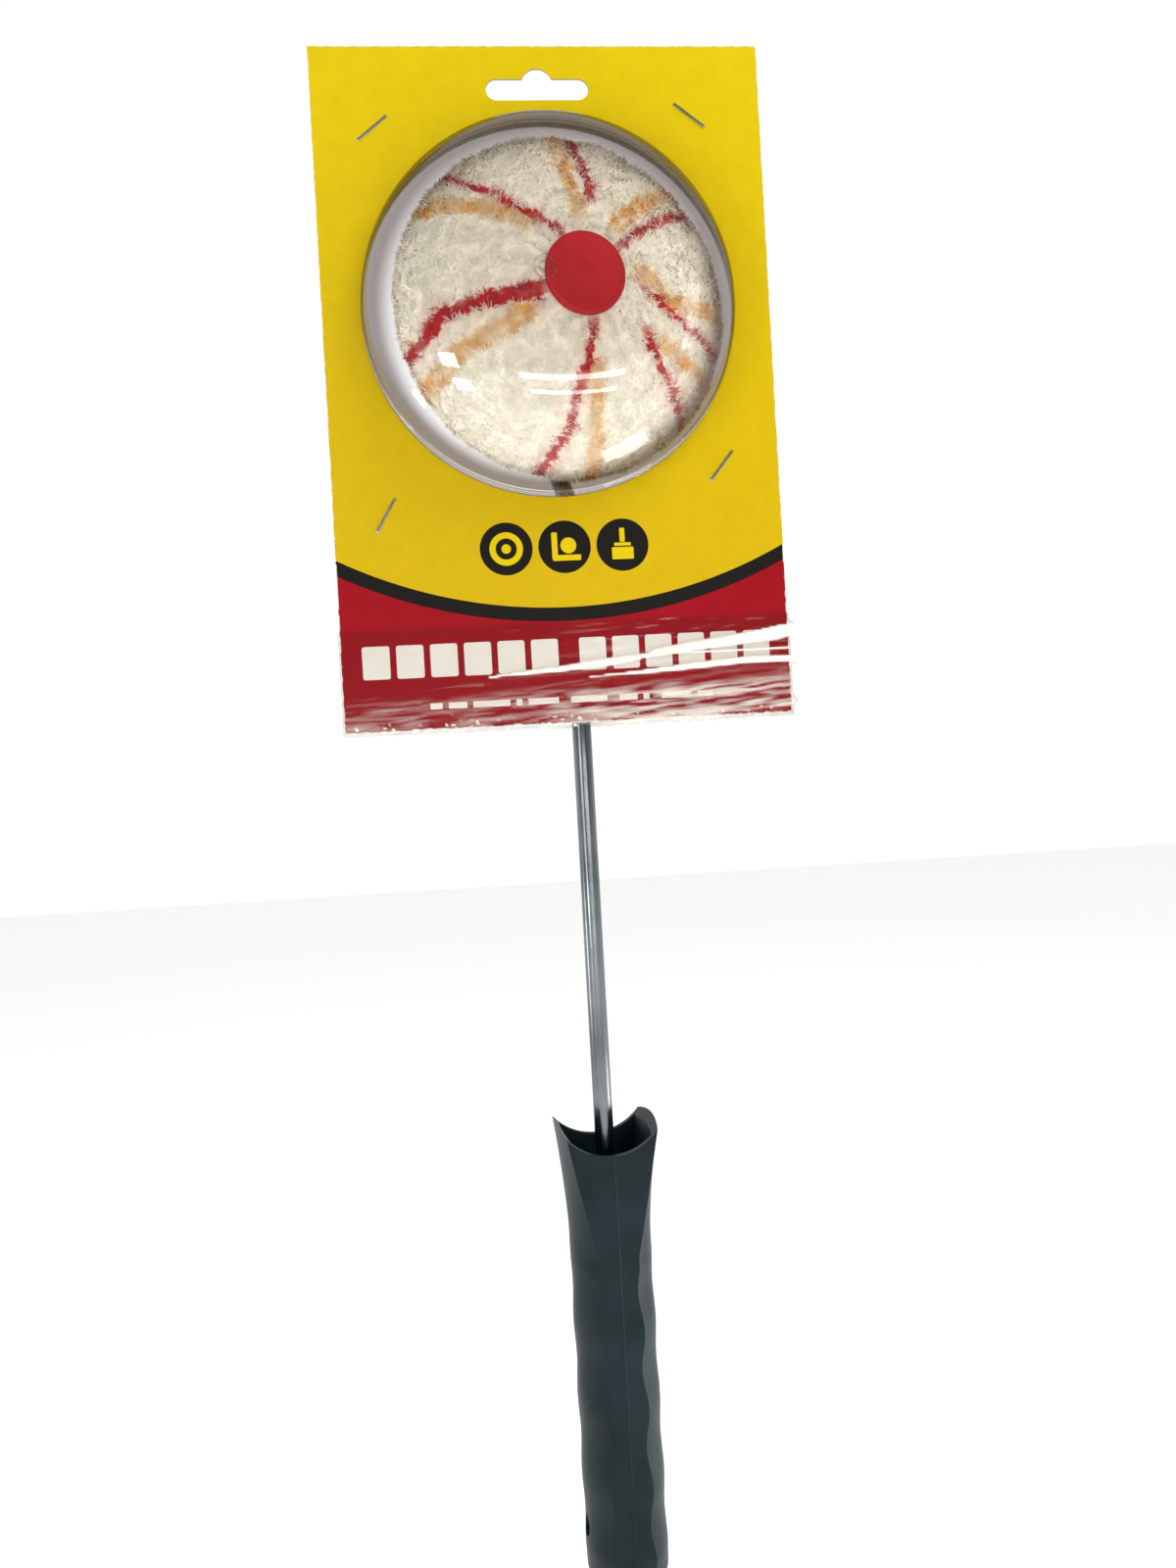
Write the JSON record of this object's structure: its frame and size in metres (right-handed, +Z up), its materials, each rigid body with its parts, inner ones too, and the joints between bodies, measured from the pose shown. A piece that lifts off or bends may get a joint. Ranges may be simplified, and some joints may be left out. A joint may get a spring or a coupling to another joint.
{
  "type": "corner paint roller",
  "caption": "Edgeless corner paint roller with a pile-covered wheel on a cranked wire frame and moulded handle, held on its hang card under a clear dome.",
  "frame": {"origin": "centre of the hang slot, in the middle of the card's thickness", "axes": "+Z up along the shaft towards the slot, +X to the right of the printed face, -Y out of the printed face through the dome"},
  "size_m": [0.1414, 0.076, 0.4796],
  "materials": {
    "printed_card": "coated board, printed, satin",
    "clear_sheet": "clear thermoformed sheet, gloss",
    "staple_wire": "dull steel wire",
    "clear_film": "clear shrink film, creased, gloss",
    "plated_wire": "bright zinc plate, drawn",
    "washer_steel": "stamped, plated",
    "spring_steel": "stamped, dark",
    "handle_plastic": "moulded, fine spark texture, satin",
    "insert_plastic": "moulded, matt",
    "core_plastic": "moulded, natural",
    "nylon": "moulded nylon, satin",
    "foam": "open-cell foam",
    "pile_fabric": "long cream pile with red and yellow stripes",
    "cord": "twisted polyester cord",
    "red_plastic": "moulded, matt red"
  },
  "bodies": {
    "frame_and_pack": {"card": "printed_card", "blister": "clear_sheet", "staples": "staple_wire", "film_band": "clear_film", "wire_frame": "plated_wire", "thrust_washer": "washer_steel", "push_nut": "spring_steel", "handle_shell": "handle_plastic", "socket_insert": "insert_plastic"},
    "roller_head": {"core_front": "core_plastic", "core_rear": "core_plastic", "hub_sleeve": "core_plastic", "front_bush": "nylon", "rear_bush": "nylon", "foam_pad": "foam", "pile_cover": "pile_fabric", "gather_cord_front": "cord", "gather_cord_rear": "cord", "front_cap": "red_plastic", "rear_collar": "red_plastic"}
  },
  "joints": [
    {"name": "roller_spin", "type": "hinge", "parent": "frame_and_pack", "child": "roller_head", "pos_m": [0.00407, 0.00008, -0.069], "axis": [0.1736, -0.9848, 0], "continuous": true}
  ]
}
